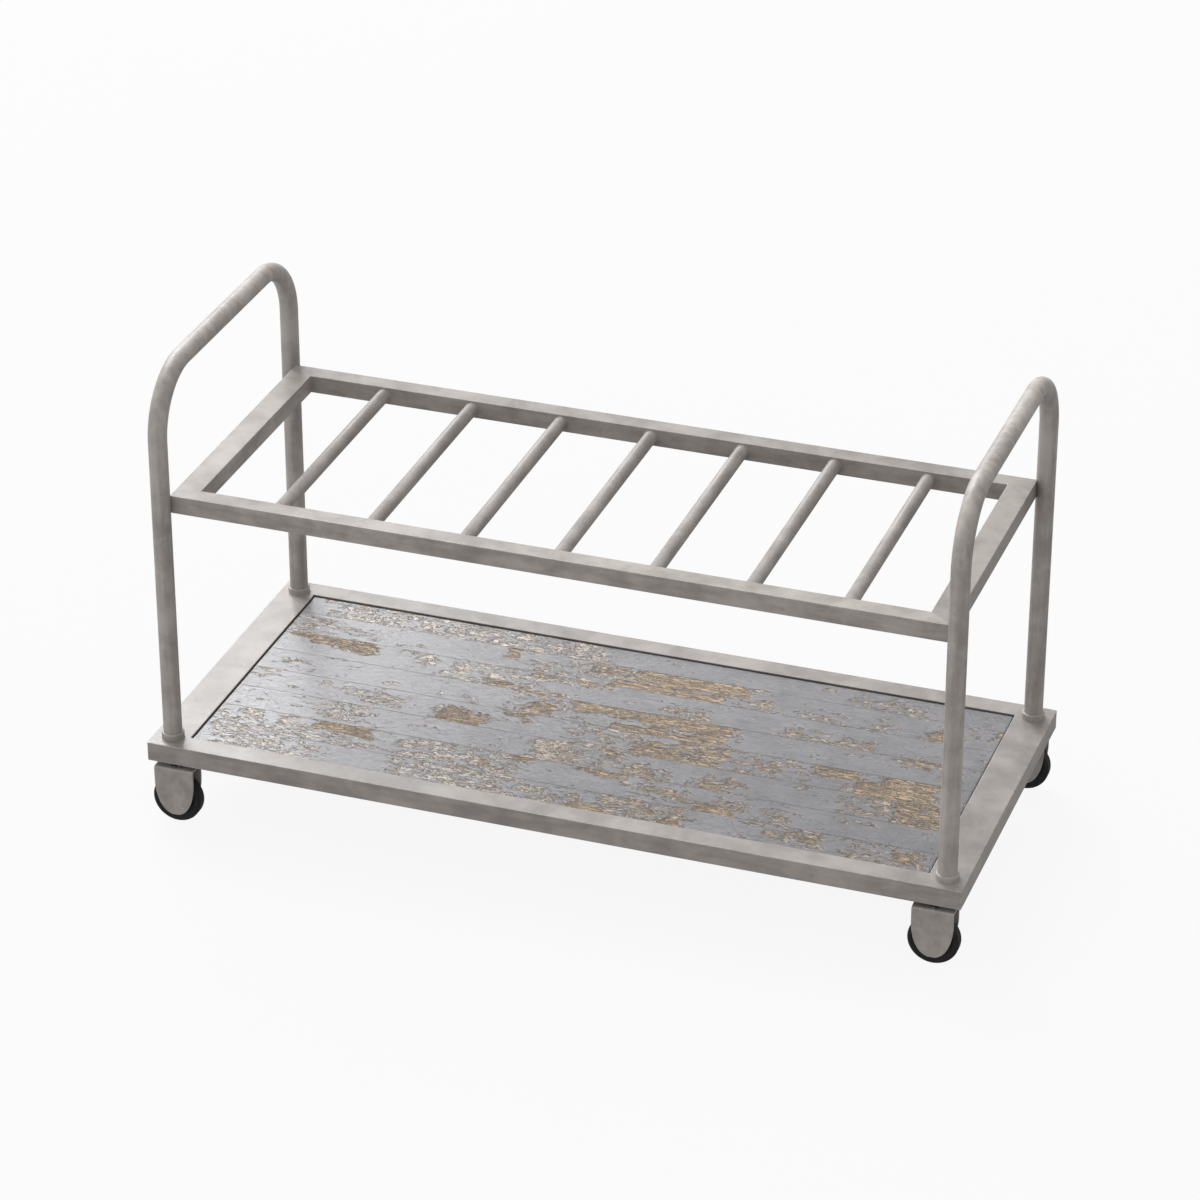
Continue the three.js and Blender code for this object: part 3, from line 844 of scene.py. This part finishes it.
def flaking_fields(x, y, plank):
    """bare and flaking at points in millimetres, as the board's material reads them."""
    sway = 7 * lattice_noise(x / 40, y / 30, 5)
    coast = fractal((x + sway) / 30, (y + sway) / 10, 3, 5, 0.74)
    worn = patch_field(x + 1.5 * sway, y + 0.4 * sway, BARE_PATCHES, plank, 8)
    bare = 1.7 * worn - 0.78 + 0.62 * coast
    around = patch_field(x, y, BARE_PATCHES, plank, 26)
    flaked = patch_field(x + sway, y + 0.3 * sway, FLAKED_PATCHES, plank, 18)
    spots = np.clip((fractal(x / 60, y / 24, 11, 3) - 0.42) * 1.2, 0, 0.45)
    flaking = np.maximum(np.maximum(0.95 * around, flaked), spots)
    uneven = 0.3 + 0.45 * np.clip(3 * flaking, 0, 1)
    flaking = np.clip(flaking * 1.25 - 0.1 + uneven * fractal(x / 30, y / 12, 21, 4, 0.7), 0, 1)
    return np.clip(bare, -1, 1), flaking


def deck_plank(index, count, material):
    """One plank: a fine top with real relief, and a plain tongue, groove and underside."""
    node = f"deck_plank_{index}"
    low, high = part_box(node)
    has_tongue, has_groove = index < count, index > 1
    front = low.y + (TONGUE_LENGTH if has_tongue else 0)
    back = high.y
    z0, z1 = low.z, high.z
    middle = (z0 + z1) / 2

    tops = round((back - front - 2 * EASED_EDGE) / TOP_STEP_Y)
    top = np.linspace(front + EASED_EDGE, back - EASED_EDGE, tops + 1)
    groove_half = TONGUE_HALF + SEAT
    under_back = [(back, middle + groove_half), (back - TONGUE_LENGTH, middle + groove_half)]
    under_back += [(back - TONGUE_LENGTH, middle - groove_half), (back, middle - groove_half)]
    under_front = [(front, middle - TONGUE_HALF), (low.y, middle - TONGUE_HALF)]
    under_front += [(low.y, middle + TONGUE_HALF), (front, middle + TONGUE_HALF)]
    loop = [(y, z1) for y in top]
    loop += [(back, z1 - EASED_EDGE), (back, z1 - 3 * EASED_EDGE)]
    loop += under_back if has_groove else []
    loop += [(back, z0), (front, z0)]
    loop += under_front if has_tongue else []
    loop += [(front, z1 - 3 * EASED_EDGE), (front, z1 - EASED_EDGE)]
    section = np.array(loop)

    lengths = round((high.x - low.x) / TOP_STEP_X)
    xs = np.linspace(low.x, high.x, lengths + 1)
    size = len(section)
    x = np.repeat(xs, size)
    y = np.tile(section[:, 0], len(xs))
    z = np.tile(section[:, 1], len(xs))
    is_top = np.tile(np.arange(size) <= tops, len(xs))

    plank = (front / MM, back / MM)
    bare, flaking = flaking_fields(x / MM, y / MM, plank)
    wood = np.clip(bare / 0.2 + 0.5, 0, 1)
    paint = np.clip(1.4 - 1.6 * flaking, 0, 1) * (1 - wood)
    fibres = fractal(x / MM / 30, y / MM / 1.7, 51, 3)
    chips = fractal(x / MM / 4, y / MM / 3, 61, 2)
    sunk = PAINT_DEPTH * (1 - paint) + WOOD_DEPTH * wood
    sunk = sunk - 0.12 * MM * (1 - paint) * chips - 0.1 * MM * wood * fibres
    cupping = 0.15 * MM * fractal(x / MM / 260, y / MM / 90, 71, 2)
    from_edge = np.minimum(y - front, back - y)
    settle = np.clip(from_edge / (4 * MM), 0, 1)
    z = np.where(is_top, z - sunk * (0.3 + 0.7 * settle) + cupping * settle, z)
    x_edge = np.clip(np.minimum(x - low.x, high.x - x) / (2 * MM), 0, 1)
    z = z - np.where(is_top, 0.4 * MM * (1 - x_edge) ** 2, 0)
    seam_and_gap_shade = np.clip(1 - from_edge / (0.9 * MM), 0, 1)
    # painted shade in the shadowed gap between the deck's outer edges and the rails
    from_rail = x - low.x + 0.6 * MM
    if not has_groove:
        from_rail = np.minimum(from_rail, back - y - 0.4 * MM)
    if not has_tongue:
        from_rail = np.minimum(from_rail, y - front)
    seam_and_gap_shade = np.maximum(seam_and_gap_shade, 8 * np.clip(1.1 - from_rail / (1.6 * MM), 0, 1)) * (z > z1 - 4 * EASED_EDGE)

    rings = np.arange(len(xs) - 1)[:, None] * size
    points = np.arange(size)[None, :]
    following = (points + 1) % size
    quads = [rings + points, rings + following, rings + size + following, rings + size + points]
    quads = np.stack(quads, axis=-1).reshape(-1, 4)
    caps = [tuple(range(size - 1, -1, -1)), tuple(range((len(xs) - 1) * size, len(xs) * size))]

    mesh = bpy.data.meshes.new(FINE + node)
    mesh.from_pydata(np.stack([x, y, z], axis=-1), [], [*map(tuple, quads.tolist()), *caps])
    bare = np.where(z > middle, bare, UNDERSIDE_BARE)
    flaking = np.where(z > middle, flaking, UNDERSIDE_FLAKING)
    set_fields(mesh, {"bare": bare, "flaking": flaking, "seam_and_gap_shade": seam_and_gap_shade})
    outward(mesh)
    placed(node, mesh, material, 70)


def cross_bar(index, material):
    """A flat steel bar under the planks, with rounded edges."""
    node = f"deck_cross_bar_{index}"
    low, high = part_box(node)
    corners = [(low.x, low.z), (low.x, high.z), (high.x, high.z), (high.x, low.z)]
    outline, rounding = rounded_outline(corners, 0.8 * MM)
    vertices = [(x, y, z) for y in (low.y - SEAT, high.y + SEAT) for x, z in outline]
    bar = piece(node, vertices, loop_faces(2, len(outline)), material, "greige_metal", edge=rounding * 2)
    outward(bar.data)
    weight_normals(bar)


# ---------------------------------------------------------------------- stage


FLOOR_HALF = 60
RING_RADIUS, RING_HEIGHT, RING_SIDES = 50, 30, 64
BELOW_LIGHT = 0.58
ABOVE_LIGHT = 1.18
LEFT_SHARE = 1.2
RIGHT_SHARE = 0.72


def stage_backdrop(material):
    """A wide pale ring on the far floor, so a low view has no horizon. It lights and shades nothing."""
    mesh = bpy.data.meshes.new("studio_backdrop")
    turns = [2 * math.pi * side / RING_SIDES for side in range(RING_SIDES)]
    circle = [(RING_RADIUS * math.cos(turn), RING_RADIUS * math.sin(turn)) for turn in turns]
    points = [(x, y, z) for z in (-1, RING_HEIGHT) for x, y in circle]
    mesh.from_pydata(points, [], loop_faces(2, RING_SIDES, close_ends=False))
    mesh.materials.append(material)
    ring = bpy.data.objects.new("studio_backdrop", mesh)
    ring.visible_diffuse = False
    ring.visible_glossy = False
    ring.visible_shadow = False
    bpy.context.scene.collection.objects.link(ring)


def stage_floor():
    mesh = bpy.data.meshes.new("studio_floor")
    half = FLOOR_HALF
    points = [(-half, -half, 0), (half, -half, 0), (half, half, 0), (-half, half, 0)]
    mesh.from_pydata(points, [], [(0, 1, 2, 3)])
    g = Graph("pale_floor")
    tone = g.mix((0.030, 0.030, 0.030), (0.033, 0.033, 0.033), g.noise(0.6, detail=2))
    g.put(g.shader.inputs["Base Color"], tone)
    g.shader.inputs["Roughness"].default_value = 1.0
    g.shader.inputs["Specular IOR Level"].default_value = 0.0
    g.shader.inputs["Emission Color"].default_value = (1, 1, 1, 1)
    g.shader.inputs["Emission Strength"].default_value = 0.91
    mesh.materials.append(g.material)
    floor = bpy.data.objects.new("studio_floor", mesh)
    floor.visible_diffuse = False
    floor.visible_glossy = False
    bpy.context.scene.collection.objects.link(floor)
    stage_backdrop(g.material)


def softbox(name, azimuth, elevation, distance, size, power, colour=(1, 1, 1), aim=(0, 0, 0.25)):
    """An area light that faces the trolley, at an azimuth from +Y towards -X and an elevation in degrees."""
    a, e = math.radians(azimuth), math.radians(elevation)
    away = Vector((-math.sin(a) * math.cos(e), math.cos(a) * math.cos(e), math.sin(e)))
    light = bpy.data.lights.new(name, "AREA")
    light.shape = "RECTANGLE"
    light.size, light.size_y = size
    light.energy = power
    light.color = colour
    lamp = bpy.data.objects.new(name, light)
    lamp.location = Vector(aim) + away * distance
    lamp.rotation_mode = "QUATERNION"
    lamp.rotation_quaternion = away.to_track_quat("Z", "Y")
    bpy.context.scene.collection.objects.link(lamp)
    return lamp


def studio_world():
    """Soft light from all round, paler above than below and a little darker on the right."""
    world = bpy.data.worlds.new("studio_world")
    world.use_nodes = True
    tree = world.node_tree
    direction = tree.nodes.new("ShaderNodeSeparateXYZ")
    tree.links.new(tree.nodes.new("ShaderNodeTexCoord").outputs["Generated"], direction.inputs[0])
    strength = None
    for axis, low, high in (("Z", BELOW_LIGHT, ABOVE_LIGHT), ("X", LEFT_SHARE, RIGHT_SHARE)):
        ramp = tree.nodes.new("ShaderNodeMapRange")
        ramp.interpolation_type = "SMOOTHSTEP"
        tree.links.new(direction.outputs[axis], ramp.inputs["Value"])
        ramp.inputs["From Min"].default_value = -0.6
        ramp.inputs["From Max"].default_value = 0.6
        ramp.inputs["To Min"].default_value = low
        ramp.inputs["To Max"].default_value = high
        if strength is None:
            strength = ramp.outputs[0]
        else:
            product = tree.nodes.new("ShaderNodeMath")
            product.operation = "MULTIPLY"
            tree.links.new(strength, product.inputs[0])
            tree.links.new(ramp.outputs[0], product.inputs[1])
            tree.links.new(product.outputs[0], tree.nodes["Background"].inputs["Strength"])
    tree.nodes["Background"].inputs["Color"].default_value = (1.0, 0.99, 0.98, 1)
    return world


def studio():
    scene = bpy.context.scene
    scene.view_settings.view_transform = "Standard"
    scene.world = studio_world()
    stage_floor()
    softbox("key_back_left", 45, 42, 12, (6.0, 6.0), 1560, (0.98, 0.99, 1.0))


def camera():
    """The photograph's viewpoint: above and to the right of the trolley's front, with a long lens."""
    azimuth, elevation = math.radians(19.434), math.radians(28.482)
    back = Vector((
        math.sin(azimuth) * math.cos(elevation),
        -math.cos(azimuth) * math.cos(elevation),
        math.sin(elevation),
    ))
    data = bpy.data.cameras.new("camera")
    data.sensor_width = 36
    data.lens = 131.7
    data.clip_start, data.clip_end = 0.1, 100
    view = bpy.data.objects.new("camera", data)
    view.location = (1.80516, -5.1373, 3.28594)
    view.rotation_mode = "QUATERNION"
    view.rotation_quaternion = back.to_track_quat("Z", "Y")
    bpy.context.scene.collection.objects.link(view)
    bpy.context.scene.camera = view


# ------------------------------------------------------------------- assembly

RAIL_STREAKS = ((14, 14, 90), (0, 24, 18))

# One greige paint, in copies that differ in paleness for the light on each part: the posts, collars and the
# shelf's front and left rails are painted paler as painted light, and the back and right rails of base and
# shelf darker as painted shade.
rails_metal = greige_metal("greige_base", *RAIL_STREAKS)
rails_shaded_metal = greige_metal("greige_base_shaded", *RAIL_STREAKS, paleness=0.93)
shelf_lit_metal = greige_metal("greige_shelf", *RAIL_STREAKS, paleness=1.18, dullness=0.02, shine=0.22)
shelf_shaded_metal = greige_metal("greige_shelf_shaded", *RAIL_STREAKS, paleness=1.0, dullness=0.02, shine=0.2)
posts_lit_metal = greige_metal("greige_posts_lit", (95, 95, 7), paleness=1.28, dullness=0.08, shine=0.45, tooth=0.4)
bars_metal = greige_metal("greige_bars", (90, 9, 90), paleness=1.03, dullness=0.12, shine=0.4, tooth=0.3)
fork_metal = greige_metal("greige_forks", (60, 60, 40), paleness=1.05)
zinc = zinc_steel()
rubber = black_rubber()
plastic = wheel_plastic()
board = worn_board()

mitred_frame("base_rail", rails_metal, "greige_metal", shaded_material=rails_shaded_metal, shaded_inside=True)
mitred_frame("shelf_rail", shelf_lit_metal, "greige_metal", shaded_material=shelf_shaded_metal)
for hoop_side in ("left", "right"):
    hoop(f"hoop_{hoop_side}", posts_lit_metal)
for corner_name in CORNERS:
    collar(corner_name, posts_lit_metal)
    caster(corner_name, fork_metal, zinc, rubber, plastic)
    frame["nodes"][f"post_spigot_{corner_name}"].material_slots[0].material = zinc

planks = [node for node in frame["nodes"] if node.startswith("deck_plank_")]
for plank_number in range(1, len(planks) + 1):
    deck_plank(plank_number, len(planks), board)
for bar_number in range(1, 4):
    cross_bar(bar_number, rails_metal)
for bar_number in range(1, 8):
    shelf_bar(bar_number, bars_metal)

studio()
camera()
